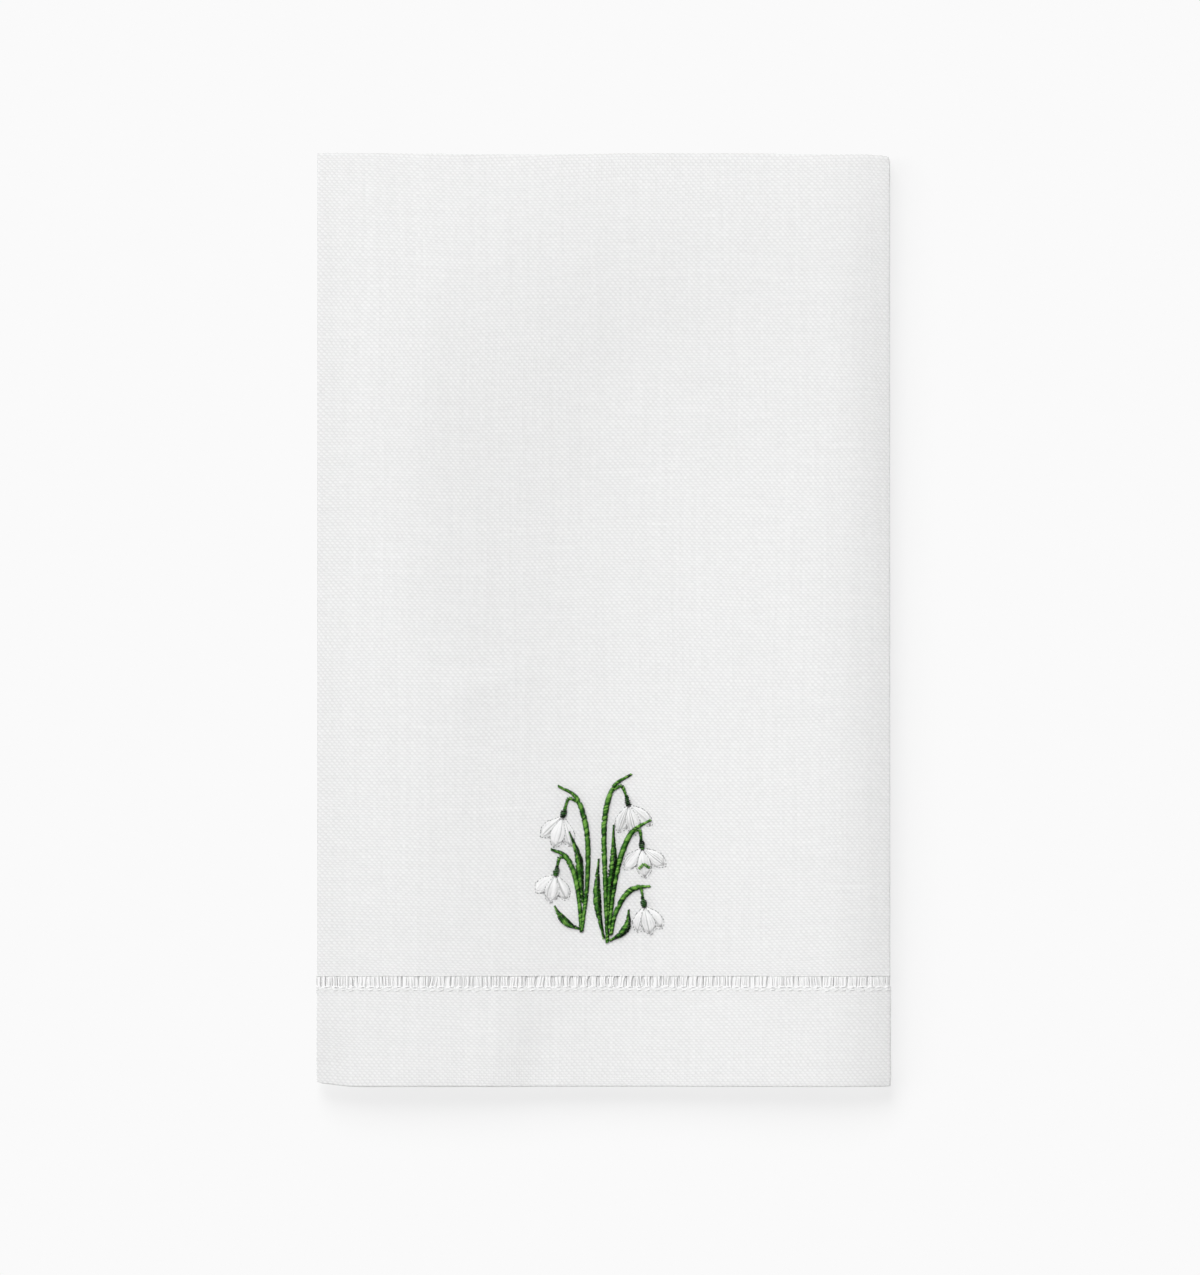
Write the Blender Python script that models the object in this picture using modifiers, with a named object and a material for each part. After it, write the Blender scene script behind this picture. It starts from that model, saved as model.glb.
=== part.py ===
"""A hemmed linen hand towel, folded in from both sides and then folded across once, lying face up.

Metres, +Z up. The towel lies on z = 0 with its cross fold towards +Y and its deep front hem towards -Y.
The whole towel is one cut of cloth: it is made as a flat grid, each point of which is carried to its place
in the folded towel, and a Solidify modifier then gives the cloth its thickness.
"""

import math

import bmesh
import bpy
from mathutils import Matrix

# Driving dimensions of the folded towel
PANEL_WIDTH = 0.178  # over both side folds
FRONT_LENGTH = 0.2894  # cross fold to the front hem's edge
BACK_LENGTH = 0.2684  # cross fold to the back hem's edge
FLAP_GAP = 0.0008  # between the two turned-in sides, which nearly meet behind the middle
HEM_DEPTH = 0.0308
LADDER_HEIGHT = 0.0034  # the row of drawn threads above each hem

# Cloth thickness, and the height from one layer's middle to the next
CLOTH = 0.0010
HEM = 0.0012
HEM_EDGE = 0.0007  # the hem's turned edge is rounded off to this
LADDER = 0.0006
LAYER_GAP = 0.0003
FOLDED_LAYERS = 4

# Soft relief of the upper layers, as heights at the topmost one
CROWN = 0.0019  # how far the middle stands above the pressed edges
TROUGH = 0.0015  # the soft valley over the place where the turned-in sides meet
TROUGH_LEFT_REACH = 0.037
TROUGH_RIGHT_REACH = 0.050
TROUGH_MIDDLE = 0.004
TROUGH_LEAN = 0.009  # the valley moves to the right by this towards the cross fold
LEAN_START = 0.037  # from here on up
LEAN_RUN = 0.061  # over this length
TROUGH_START = 0.073  # the valley deepens over this length, down from the cross fold
LEFT_SHOULDER = 0.014
LEFT_CROWN = 1.08  # height at the left edge, as a share of the crown
RIGHT_SHOULDER = 0.022
RIGHT_CROWN = 0.0
TOP_SHOULDER = 0.090
TOP_CROWN = 0.30
HEM_SHOULDER = 0.003
HEM_CROWN = 0.97
SHOULDER_POWER = 2.4  # how fully a shoulder is rounded
HEM_RAMP = 0.140  # the stack thickens towards its hems over this length
CORNER_DROOP = 0.0030  # of the front hem's left corner, where it reaches past the back
CORNER_DROOP_REACH = 0.032
BROAD_FORMS = (  # middle x, middle y, angle in degrees, half length, half width and height
    (-0.058, 0.032, 93, 0.110, 0.023, 0.00080),
    (0.048, 0.048, 4, 0.026, 0.030, -0.00028),
)

# Outline, as uneven as a hand-pressed towel
TOP_WAVE = 0.00025
TOP_WAVE_LENGTH = 0.103
TOP_WAVE_CREST = 0.024
LEFT_HEM_RISE = 0.0011
LEFT_HEM_RISE_WIDTH = 0.013
RIGHT_FOLD_DIP = 0.0005
RIGHT_FOLD_DIP_WIDTH = 0.009
BACK_TAPER = 0.0010  # the back draws in by this on each side, from the cross fold to its hem
CORNER_RADII = {
    ("left", "top"): 0.0012,
    ("right", "top"): 0.0026,
    ("left", "bottom"): 0.0024,
    ("right", "bottom"): 0.0012,
}

# How finely each stretch of the cloth is divided
HALF_PANEL_STEPS = 12
SIDE_FOLD_STEPS = 5
FRONT_STEPS = 17
CROSS_FOLD_STEPS = 8
BACK_STEPS = 11
HEM_STEPS = 3
SHORT_STEP = 0.0008  # the strip over which the cloth changes thickness
EDGE_STEP = 0.0003  # the strip over which a hem's edge is rounded

CLOTH_COLOUR = (0.84, 0.84, 0.83, 1.0)

EDGE_PITCH = CLOTH + LAYER_GAP
HEM_PITCH = HEM + LAYER_GAP
HALF_STACK = (FOLDED_LAYERS - 1) / 2  # from the stack's middle to its outer layer, in pitches


def smooth(value):
    """0 below 0, 1 above 1, and a soft curve between."""
    value = min(max(value, 0.0), 1.0)
    return value * value * (3 - 2 * value)


def spaced(first, last, steps):
    """Evenly spaced numbers from first up to, but without, last."""
    return [first + (last - first) * i / steps for i in range(steps)]


def closing_up(first, last, steps):
    """Numbers from just after first up to, but without, last, which lie closer together towards last."""
    return [first + (last - first) * math.sin(math.pi / 2 * t) for t in spaced(0, 1, steps)[1:]]


def front_edge_y():
    return -FRONT_LENGTH / 2


def cross_fold_y():
    """Where the bend round the cross fold begins, with the pressed stack's own half height left for it."""
    return FRONT_LENGTH / 2 - HALF_STACK * EDGE_PITCH - CLOTH / 2


def back_edge_y():
    return FRONT_LENGTH / 2 - BACK_LENGTH


def straight_half_width():
    """Half the width between the two side folds' beginnings."""
    return PANEL_WIDTH / 2 - EDGE_PITCH / 2 - CLOTH / 2


def stations_across():
    """Lines across the cloth, as (x, turn): turn is 0 on the panel and 1 on the side turned in behind it."""
    half = straight_half_width()
    half_panel = closing_up(0.0, half, HALF_PANEL_STEPS) + [half]
    panel = [-x for x in reversed(half_panel)] + [0.0] + half_panel
    fold = spaced(0.0, 1.0, SIDE_FOLD_STEPS)[1:]
    flap = [x for x in half_panel if x > FLAP_GAP]
    right = [(half, turn) for turn in fold] + [(x, 1.0) for x in reversed(flap)] + [(FLAP_GAP / 2, 1.0)]
    left = [(-x, turn) for x, turn in reversed(right)]
    return left + [(x, 0.0) for x in panel] + right


def hem_stations(edge, turn):
    """Lines over a hem and its drawn-thread row, from the edge inwards, as (y, turn, thickness)."""
    hem_top = edge + HEM_DEPTH
    ladder_top = hem_top + LADDER_HEIGHT
    lines = [(edge, turn, HEM_EDGE)]
    lines += [(y, turn, HEM) for y in spaced(edge + EDGE_STEP, hem_top - SHORT_STEP, HEM_STEPS)]
    lines += [(hem_top - SHORT_STEP, turn, HEM), (hem_top, turn, LADDER)]
    lines += [(ladder_top, turn, LADDER), (ladder_top + SHORT_STEP, turn, CLOTH)]
    return lines


def stations_along():
    """Lines along the cloth, as (y, turn, thickness): turn is 0 on the front and 1 on the back."""
    front = hem_stations(front_edge_y(), 0.0)
    back = hem_stations(back_edge_y(), 1.0)
    fold = cross_fold_y()
    front += [(y, 0.0, CLOTH) for y in closing_up(front[-1][0], fold, FRONT_STEPS)]
    back += [(y, 1.0, CLOTH) for y in closing_up(back[-1][0], fold, BACK_STEPS)]
    bend = [(fold, turn, CLOTH) for turn in spaced(0.0, 1.0, CROSS_FOLD_STEPS) + [1.0]]
    return front + bend + list(reversed(back))


def shoulder(distance, width, at_edge):
    """at_edge on an edge, steepest there, and rounding off to 1 at width from it."""
    left_over = 1 - min(max(distance / width, 0.0), 1.0)
    return 1 - (1 - at_edge) * left_over**SHOULDER_POWER


def trough(x, y):
    """Share of the soft valley's depth at a place: steeper on its left, and shifted near the cross fold."""
    leaning = TROUGH_LEAN * smooth((y - LEAN_START) / LEAN_RUN)
    from_middle = x - TROUGH_MIDDLE - leaning
    across = from_middle / (TROUGH_LEFT_REACH if from_middle < 0 else TROUGH_RIGHT_REACH)
    down = smooth((FRONT_LENGTH / 2 - y) / TROUGH_START)
    return math.exp(-across * across) * down


def broad_forms(x, y):
    """Height of the hand-placed soft ridge and hollow at a place."""
    height = 0.0
    for middle_x, middle_y, angle, length, width, rise in BROAD_FORMS:
        turn = math.radians(angle)
        along = (x - middle_x) * math.cos(turn) + (y - middle_y) * math.sin(turn)
        across = (y - middle_y) * math.cos(turn) - (x - middle_x) * math.sin(turn)
        height += rise * math.exp(-((along / length) ** 2) - (across / width) ** 2)
    return height


def relief(x, y):
    """Height that the topmost layer gains over the pressed edges, at a place on the towel."""
    from_left = shoulder(PANEL_WIDTH / 2 + x, LEFT_SHOULDER, LEFT_CROWN)
    from_right = shoulder(PANEL_WIDTH / 2 - x, RIGHT_SHOULDER, RIGHT_CROWN)
    from_top = shoulder(FRONT_LENGTH / 2 - y, TOP_SHOULDER, TOP_CROWN)
    from_hem = shoulder(FRONT_LENGTH / 2 + y, HEM_SHOULDER, HEM_CROWN)
    crown = from_left * from_right * from_top * from_hem
    return crown * (CROWN - TROUGH * trough(x, y) + broad_forms(x, y))


def hem_share(y):
    """1 over the hems, where the layers lie further apart, and 0 well above them."""
    top = back_edge_y() + HEM_DEPTH + LADDER_HEIGHT
    return 1 - smooth((y - top) / HEM_RAMP)


def pitch(x, y):
    """Height from one layer's middle to the next, at a place on the towel."""
    pressed = EDGE_PITCH + (HEM_PITCH - EDGE_PITCH) * hem_share(y)
    return pressed + relief(x, y) / (FOLDED_LAYERS - 1)


def lowest_layer_middle(y):
    """Height of the bottom layer's middle, so that its underside is flat on z = 0, hem and all."""
    in_hem = 1 - smooth((y - back_edge_y() - HEM_DEPTH + SHORT_STEP) / SHORT_STEP)
    return (CLOTH + (HEM - CLOTH) * in_hem) / 2


def rounded_corner(x, y):
    """Moves a point near one of the four corners in, so that the square corner becomes a quarter round."""
    side = "right" if x > 0 else "left"
    end = "top" if y > 0 else "bottom"
    radius = CORNER_RADII[side, end]
    across = (abs(x) - PANEL_WIDTH / 2) / radius + 1
    along = (abs(y) - FRONT_LENGTH / 2) / radius + 1
    if across <= 0 or along <= 0:
        return x, y
    moved_x = across * math.sqrt(1 - along * along / 2)
    moved_y = along * math.sqrt(1 - across * across / 2)
    return (
        math.copysign(PANEL_WIDTH / 2 + (moved_x - 1) * radius, x),
        math.copysign(FRONT_LENGTH / 2 + (moved_y - 1) * radius, y),
    )


def uneven_outline(x, y):
    """Waves the cross fold and draws two corners in, fading out inside the towel."""
    upness = smooth(0.5 + y / FRONT_LENGTH)
    near_hem = smooth((front_edge_y() + HEM_DEPTH - y) / HEM_DEPTH)
    top_wave = TOP_WAVE * math.cos(2 * math.pi * (x - TOP_WAVE_CREST) / TOP_WAVE_LENGTH)
    dip = RIGHT_FOLD_DIP * smooth(1 - (PANEL_WIDTH / 2 - x) / RIGHT_FOLD_DIP_WIDTH)
    rise = LEFT_HEM_RISE * smooth(1 - (x + PANEL_WIDTH / 2) / LEFT_HEM_RISE_WIDTH)
    return x, y + (top_wave - dip) * upness + rise * near_hem


def droop(x, y, level):
    """How far the front's two layers hang at their left corner, where nothing lies under them."""
    if level <= 0:
        return 0.0
    past = (back_edge_y() - y) / (FRONT_LENGTH - BACK_LENGTH)
    from_corner = shoulder(PANEL_WIDTH / 2 + x, CORNER_DROOP_REACH, 0.0)
    return CORNER_DROOP * (1 - from_corner) * smooth(past / 2)


def folded_point(across, along):
    """Where a point of the flat cloth lies in the folded towel, from its two stations."""
    x, side_turn = across
    y, cross_turn, _ = along
    side = math.copysign(1.0, x)
    local = pitch(x, y)
    drawn_in = BACK_TAPER * cross_turn * (cross_fold_y() - y) / BACK_LENGTH
    # The level is measured from the stack's middle, in pitches: 1.5 outside and 0.5 for a side turned in.
    level = 1 + math.cos(math.pi * side_turn) / 2
    out_x = x * (1 - drawn_in / (PANEL_WIDTH / 2)) + side * EDGE_PITCH / 2 * math.sin(math.pi * side_turn)
    reach = level * local
    out_y = y + level * EDGE_PITCH * math.sin(math.pi * cross_turn)
    height = reach * math.cos(math.pi * cross_turn)
    middle = lowest_layer_middle(y) + HALF_STACK * local
    out_x, out_y = uneven_outline(*rounded_corner(out_x, out_y))
    return out_x, out_y, middle + height - droop(x, y, height)


def flat_grid(name, columns, rows):
    """A flat grid mesh with the given number of points each way, numbered row by row."""
    mesh = bpy.data.meshes.new(name)
    grid = bmesh.new()
    bmesh.ops.create_grid(grid, x_segments=columns - 1, y_segments=rows - 1, size=0.5)
    for face in grid.faces:
        face.smooth = True
    grid.to_mesh(mesh)
    grid.free()
    return mesh


def centre_over_origin(towel):
    """Moves the cloth so that the finished solid's box stands centred over the origin."""
    bpy.context.view_layer.update()
    box = towel.evaluated_get(bpy.context.evaluated_depsgraph_get()).bound_box
    middle_x = (min(corner[0] for corner in box) + max(corner[0] for corner in box)) / 2
    middle_y = (min(corner[1] for corner in box) + max(corner[1] for corner in box)) / 2
    towel.data.transform(Matrix.Translation((-middle_x, -middle_y, 0.0)))


def fabric_material():
    material = bpy.data.materials.new("bleached_linen")
    material.use_nodes = True
    shader = material.node_tree.nodes["Principled BSDF"]
    shader.inputs["Base Color"].default_value = CLOTH_COLOUR
    shader.inputs["Roughness"].default_value = 0.9
    shader.inputs["Metallic"].default_value = 0.0
    return material


def towel_cloth():
    columns, rows = stations_across(), stations_along()
    mesh = flat_grid("towel_cloth", len(columns), len(rows))
    points = [folded_point(across, along) for along in rows for across in columns]
    mesh.vertices.foreach_set("co", [number for point in points for number in point])
    towel = bpy.data.objects.new("towel_cloth", mesh)
    thickness = towel.vertex_groups.new(name="thickness")
    for row, (_, _, thick) in enumerate(rows):
        thickness.add(range(row * len(columns), (row + 1) * len(columns)), thick / HEM, "REPLACE")
    solidify = towel.modifiers.new("cloth thickness", "SOLIDIFY")
    solidify.thickness = HEM
    solidify.offset = 0
    solidify.vertex_group = thickness.name
    solidify.use_even_offset = True
    solidify.use_quality_normals = True
    mesh.materials.append(fabric_material())
    return towel


def main():
    for thing in list(bpy.data.objects):
        bpy.data.objects.remove(thing, do_unlink=True)
    collection = bpy.data.collections.new("hand_towel")
    bpy.context.scene.collection.children.link(collection)
    towel = towel_cloth()
    collection.objects.link(towel)
    centre_over_origin(towel)


main()
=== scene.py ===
"""The looks of a folded linen hand towel: its cloth, its hemstitching and its embroidered spray.

Everything is worked out in the flat cloth first, as (u, v): u runs across from the towel's middle and v
runs along from the front hem's edge. The folding functions then carry a flat place to the folded towel.
"""

import math

import bpy
import numpy as np
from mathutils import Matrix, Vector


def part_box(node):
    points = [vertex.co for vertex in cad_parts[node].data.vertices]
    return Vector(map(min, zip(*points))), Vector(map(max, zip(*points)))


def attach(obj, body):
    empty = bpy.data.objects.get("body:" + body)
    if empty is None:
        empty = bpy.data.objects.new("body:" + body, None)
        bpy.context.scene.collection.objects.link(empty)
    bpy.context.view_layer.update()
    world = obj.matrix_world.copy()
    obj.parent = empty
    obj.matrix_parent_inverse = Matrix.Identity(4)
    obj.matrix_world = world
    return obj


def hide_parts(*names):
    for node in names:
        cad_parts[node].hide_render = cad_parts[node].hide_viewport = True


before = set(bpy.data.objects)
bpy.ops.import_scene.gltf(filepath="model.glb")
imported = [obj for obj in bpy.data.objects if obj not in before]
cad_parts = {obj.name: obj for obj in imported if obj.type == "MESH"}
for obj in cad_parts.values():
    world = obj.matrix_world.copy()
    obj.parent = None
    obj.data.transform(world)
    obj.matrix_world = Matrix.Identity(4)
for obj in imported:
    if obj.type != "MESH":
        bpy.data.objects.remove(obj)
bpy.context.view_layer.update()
towel_low, towel_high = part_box("towel_cloth")

MM = 0.001
RANDOM = np.random.default_rng(11)

# Sizes of the folded towel, from the frame
PANEL_WIDTH = towel_high.x - towel_low.x
FRONT_LENGTH = towel_high.y - towel_low.y

# Sizes that the frame does not hold, as in the towel's own source
BACK_SHORTER = 21 * MM
FLAP_GAP = 0.8 * MM
HEM_DEPTH = 30.8 * MM
LADDER_HEIGHT = 3.4 * MM
SOLID_CLOTH = 1.0 * MM
SOLID_HEM = 1.2 * MM
LAYER_GAP = 0.3 * MM
LAYERS = 4
EDGE_PITCH = SOLID_CLOTH + LAYER_GAP
HEM_PITCH = SOLID_HEM + LAYER_GAP
HALF_STACK = (LAYERS - 1) / 2

# Soft relief, as in the towel's own source
CROWN = 1.9 * MM
TROUGH = 1.5 * MM
TROUGH_LEFT_REACH = 37 * MM
TROUGH_RIGHT_REACH = 50 * MM
TROUGH_MIDDLE = 4 * MM
TROUGH_LEAN = 9 * MM
LEAN_START = 37 * MM
LEAN_RUN = 61 * MM
TROUGH_START = 73 * MM
LEFT_SHOULDER = 14 * MM
LEFT_CROWN = 1.08
RIGHT_SHOULDER = 22 * MM
TOP_SHOULDER = 90 * MM
TOP_CROWN = 0.30
HEM_SHOULDER = 3 * MM
HEM_CROWN = 0.97
SHOULDER_POWER = 2.4  # how fully a shoulder is rounded
HEM_RAMP = 140 * MM
CORNER_DROOP = 3.0 * MM
CORNER_DROOP_REACH = 32 * MM
TOP_WAVE = 0.25 * MM
TOP_WAVE_LENGTH = 103 * MM
TOP_WAVE_CREST = 24 * MM
LEFT_HEM_RISE = 1.1 * MM
LEFT_HEM_RISE_WIDTH = 13 * MM
RIGHT_FOLD_DIP = 0.5 * MM
RIGHT_FOLD_DIP_WIDTH = 9 * MM
BACK_TAPER = 1.0 * MM
BROAD_FORMS = (  # middle x, middle y, angle in degrees, half length, half width and height, in mm
    (-58, 32, 93, 110, 23, 0.80),
    (48, 48, 4, 26, 30, -0.28),
)
CREASES = (  # the same columns
    (-37, -21, 12, 13, 4.5, 0.17),
    (-33, -134, 90, 15, 5.0, 0.20),
    (-20, -136, 90, 15, 6.0, -0.30),
    (28, 76, 3, 20, 2.2, 0.08),
    (40, 62, -4, 16, 1.8, 0.07),
    (-12, -28, 96, 16, 2.2, 0.09),
    (22, -40, 78, 20, 3.0, 0.08),
    (-52, 92, 84, 26, 3.0, 0.08),
    (60, 104, 8, 20, 2.6, -0.07),
)
CORNER_RADII = {  # by (right side, cross-fold end)
    (False, True): 1.2 * MM,
    (True, True): 2.6 * MM,
    (False, False): 2.4 * MM,
    (True, False): 1.2 * MM,
}

# The real linen, which is thinner than the solid
LINEN = 0.45 * MM
PLY_HALF_GAP = 0.25 * MM  # from a hem's middle to either of its two plies
PRESSED = 0.22  # how far the cross fold bulges, as a share of its half height
SIDE_PRESSED = 0.5  # and the side folds
INNER_GAP = 0.47 * MM  # from a panel's middle to the middle of the side turned in behind it
INNER_SAG = 0.10 * MM  # and how much more it is at the towel's middle
INNER_SAG_REACH = 32 * MM
INNER_RISE = 5 * MM  # over this length a turned-in side comes up to its panel
HEM_EDGE_PAINTED_SHADE = -0.14  # painted shade: a hem's upper edge is made darker in its colour, standing for shade from the stitches along it
BODY_EDGE_PAINTED_LIGHT = 0.15  # painted light: the cloth's edge above the ladder is made lighter in its colour, against the shade along it

# How finely the sheets are meshed
PANEL_STEP = 1.6 * MM  # across the panel
SIDE_FOLD_STEP = 0.2 * MM
FLAP_STEP = 6 * MM  # across the hidden sides
FRONT_STEP = 1.7 * MM  # along the front
CROSS_FOLD_STEP = 0.4 * MM
BACK_STEP = 7 * MM
HEM_STEP = 2 * MM
HEM_FOLD_POINTS = 9  # round a hem's fold, with its two ends
EDGE_STEP = 0.15 * MM  # a sheet's cut edge is rounded over this
NORMAL_STEP = 0.05 * MM  # for the cloth's outward direction

# The weave: threads, what makes them uneven, and the tones that this gives
# Columns: pitch; half width and what own noise and a slub add, in pitches; own noise's length; seed
WARP = (0.77 * MM, (0.48, 0.14, 0.12), 60 * MM, 0.0)
WEFT = (0.83 * MM, (0.49, 0.10, 0.14), 18 * MM, 20.0)
BOW = 6 * MM  # how far threads wander from straight lines
BOW_NOISE = 9.0
UNEVEN_SPACING = 2.2 * MM
SPACING_NOISE = 110.0
SPACING_STRETCH = 6  # this noise is longer along the threads than across them
SLUB_LENGTH = 22 * MM
SLUB_THRESHOLD = 0.14  # of noise that runs from -0.5 to 0.5: higher is rarer
SLUB_EDGE = 5.0  # how sharply a slub begins
OWN_SEED = (7.31, 3.7)  # noise offsets, from thread to thread and in all
SLUB_SEED = (5.17, 8.1)
YARN_SLANT = 0.4  # the twist of the yarn sets its short floats aslant
CRIMP = 0.45  # how far a thread rises over one it crosses, in half rounds
WEAVE_DEPTH = 0.035 * MM
LINEN_TONE = 0.795
WEFT_PAINTED_LIGHT = 0.085  # painted light on the weft floats, which catch the light from above
PINHOLE_PAINTED_SHADE = 0.14  # painted shade in a pinhole, and a little at the threads' edges round it
WARP_OWN_TONE = 0.050
WEFT_OWN_TONE = 0.028
CROSSING_TONE = 0.028  # from one crossing to the next
SLUB_TONE = 0.020
WARP_SLUB_SHARE = 0.7
BROAD_NOISE = 30.0
BROAD_TONE = 0.008
LINEN_SURFACE = {"Roughness": 0.85, "Specular IOR Level": 0.25, "Sheen Weight": 0.05, "Sheen Roughness": 0.5}

# The drawn-thread rows: bundles of warp threads, gathered by small stitches along the hem's edge
BUNDLE_PITCH = 2.76 * MM
BUNDLE_SHIFT = 0.07  # how unevenly they stand, in pitches
BUNDLE_LEAN = 0.10
STRANDS_PER_BUNDLE = 4
STRAND = (0.58 * MM, 0.11 * MM)  # width at the towel's middle, and height
STRAND_AT_SIDE = 0.78 * MM  # width at its sides
STRAND_SWELL = (1.3, 1.2, 1.0, 1.0, 1.0, 1.2, 1.3)  # where the cloth holds it
STRAND_RISE = 0.12 * MM  # it comes out high at the cloth's edge
STRAND_EMERGES = ((0.0, 0.2, 0.6, 0.83, 1.0), (0.0, 0.0, 1.0, 1.0, 0.0))  # along it, and of its rise
STRAND_SHIFT = 0.04  # how unevenly a bundle's strands lie, in its pitches
STRAND_STAGGER = 0.03 * MM  # every second strand is higher, the others lower
STRAND_UNEVEN = 0.02 * MM
STRAND_TINTS = (0.3, 0.8)
STRAND_POINTS = 7
RELAXED_STRAND = 1.15  # a turned-in strand's width, as a share of its place
RELAXED_DEPTH = 0.13 * MM  # how far these lie below the panel's middle
BETWEEN_RISE = 0.12 * MM  # and how much nearer they come between two of its bundles
BETWEEN_START = 0.18  # from so far off a bundle's middle, in its pitches
BETWEEN_RUN = 0.14
BETWEEN_POWER = 0.4  # how soon they come nearer along their length
STRAND_TUCK = 0.7 * MM  # how far a strand runs on under the cloth at each end
WAIST_MIDDLE = 0.46  # a bundle's waist at the towel's middle, as a share of its ends
WAIST_EDGE = 0.96  # and at its sides
WAIST_REACH = 55 * MM
WAIST_UNEVEN = 0.06
GATHER_POWER = 0.7  # how soon a bundle narrows from its ends
HEM_STITCH = (0.34 * MM, 0.20 * MM)
STITCH_POINTS = 7
STITCH_UNEVEN = 0.05 * MM
STITCH_TINTS = (0.4, 1.0)
LOOP_HALF = (0.30, 0.40)  # half a loop's length, least and most, in bundle pitches
LOOP_PLACE = 0.18 * MM  # how far it lies outside the hem's edge
LOOP_BOW = 0.10 * MM
LOOP_RISE = 0.05 * MM
BITE_HALF = 0.30  # and half a stitch that bites into the hem
BITE_SHIFT = 0.05
BITE_PLACE = 0.85 * MM  # how far it lies inside the hem's edge
BITE_SLANT = (0.10 * MM, 0.06 * MM)  # mean and spread
BITE_RISE = 0.06 * MM
BITE_SINK = 0.10 * MM  # how far its ends go into the hem
FLATTENED = 0.02 * MM  # no thread reaches lower than this under the folded towel

# All threads
TUBE_SIDES = 6
ARCH_POWER = 2.4  # how steeply a stitch goes down at its ends
TWIST_LENGTH = 0.45 * MM  # from one ridge of the twist to the next
TWIST_DEPTH = 0.010 * MM
PLIES = 2.0
MOTTLE_NOISE = 900.0
MOTTLE_SEED = 3.7  # noise offset from one thread to the next

# The embroidered spray, whose places and widths are in mm from its foot
SPRAY_FOOT = (-1.9 * MM, -100.0 * MM)  # x and y on the towel
THREAD_TAPER = (0.55, 0.95, 1.0, 1.0, 0.95, 0.55)  # along every stitch of it
SPRAY_POINTS = len(THREAD_TAPER)
BEND_POINTS = 24  # between two given points
SATIN_THREAD = (0.50 * MM, 0.30 * MM)
SATIN_PITCH = 0.48 * MM
SATIN_RAGGED = 0.19  # unevenness of a strip's sides, as a share of its half width
SATIN_FULLNESS = (0.45, 1.2)  # a strip's height goes with its half width, between these in mm
SATIN_SINK = 0.14 * MM  # how far a stitch's ends go into the cloth
SATIN_UNEVEN = 0.02 * MM
SATIN_TINT = 0.24
PETAL_THREAD = (0.38 * MM, 0.18 * MM)
PETAL_THREADS = 12
PETAL_TINTS = (0.5, 1.1)
PETAL_REACH = 0.9  # of the outermost threads, as a share of the petal's half width
PETAL_LEAN = 1.5  # above 1, a petal is widest past its middle
PETAL_BLUNT = 0.7  # below 1, its ends are blunt
PETAL_SHORTER = 0.22  # the threads are shorter towards its edges
SHORTER_POWER = 2.5
PETAL_UNEVEN = 0.12  # of the threads' ends, in mm
PETAL_SHARES = (0.02, 0.985)  # shares of its length whose widths its threads start and end with
PETAL_CROWN = 0.14 * MM
PETAL_FALL = 0.6  # how much of its crown is gone at its edges
PETAL_ARCH_POWER = 3
PETAL_SINK = 0.08 * MM
GREY_SHARE = 0.18  # of a petal's threads, painted grey as shade on threads that lie deeper
DEEP_THREAD_SHADE = 0.7  # how much darker this painted shade makes them
OUTLINE_THREAD = (0.24 * MM, 0.16 * MM)
OUTLINE_STITCH = 0.55 * MM
OUTLINE_GAP = 0.34 * MM
OUTLINE_POINTS = 80
OUTLINE_LEAST = 0.01  # share of the petal's length whose width the outline starts with
OUTLINE_WIDER = 1.04  # than the petal itself
OUTLINE_ENDS = (0.3, 0.8)  # its first and last stitches start at least so far from its foot, in mm
OUTLINE_UNEVEN = (0.10, 0.09)  # of a stitch's start along it and of its place, in mm
OUTLINE_LIFTS = (-0.05 * MM, 0.10 * MM)  # of a stitch's ends and middle, from what it lies on
LEAF_TAPER = (0.30, 0.22, 0.52)  # widths at foot and tip as shares of the widest, and where that is
STEM_TAPER = (1.9, 0.68, 0.45, 0.75)  # widest place in mm, then the same
PEDICEL_TAPER = (1.15, 0.8, 0.8, 0.5)
CAP_TAPER = (2.1, 0.55, 0.80, 0.5)
MARK_TAPER = (1.25, 0.9, 0.9, 0.5)
CAP_LENGTH = 2.7
PETALS = (  # side, share of the flower's petal length, width in mm, and lift in mm over the others
    (-1, 0.93, 4.1, 0.0),
    (1, 0.98, 4.1, 0.0),
    (0, 1.0, 4.4, 0.10),
)
PETAL_TUCK = 0.3  # how far a petal begins under the cap
MARK_PLACE = 0.52  # along the middle petal
MARK_ARM = (1.5, 1.1)  # how far each arm reaches aside and down
MARK_APART = 0.15
# Painted highlight and shade on the green satin: across each strip the tones are dark at its edges, where the
# rounded satin turns from the light, and light along its crown.
LEAF_LIGHTER_SIDE_PAINTED_SHADING = (0.10, 0.50, 0.86, 0.34)  # a leaf's lighter green side, with painted shade at its edge and a painted highlight, from its edge to its fold
# a leaf's other side is a darker green, with painted shade deepening from its fold to its edge
LEAF_DARKER_SIDE_PAINTED_SHADE = (0.16, 0.04, -0.12)
STEM_PAINTED_SHADING = (0.06, 0.66, 0.92, 0.44, -0.10)
CAP_PAINTED_SHADING = (-0.1, 0.30, 0.26, -0.15)
MARK_PAINTED_HIGHLIGHT = (0.7, 1.0, 0.7)
LEAVES = (  # points from foot to tip, widest place, and the lighter share of its width
    (((-5.2, 4.0), (-8.4, 5.4), (-11.2, 7.8), (-13.0, 11.0)), 2.5, 0.62),
    (((-4.3, 12.5), (-4.9, 19.5), (-5.8, 26.5), (-8.4, 34.0)), 2.6, 0.58),
    (((2.2, 1.2), (0.7, 8.6), (0.0, 16.5), (0.6, 25.5)), 2.6, 0.60),
    (((3.6, 8.0), (4.0, 16.0), (5.1, 25.0), (5.2, 36.0)), 2.6, 0.62),
    (((4.2, 0.4), (7.2, 2.2), (9.4, 5.0), (9.9, 9.8)), 2.6, 0.66),
)
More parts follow.
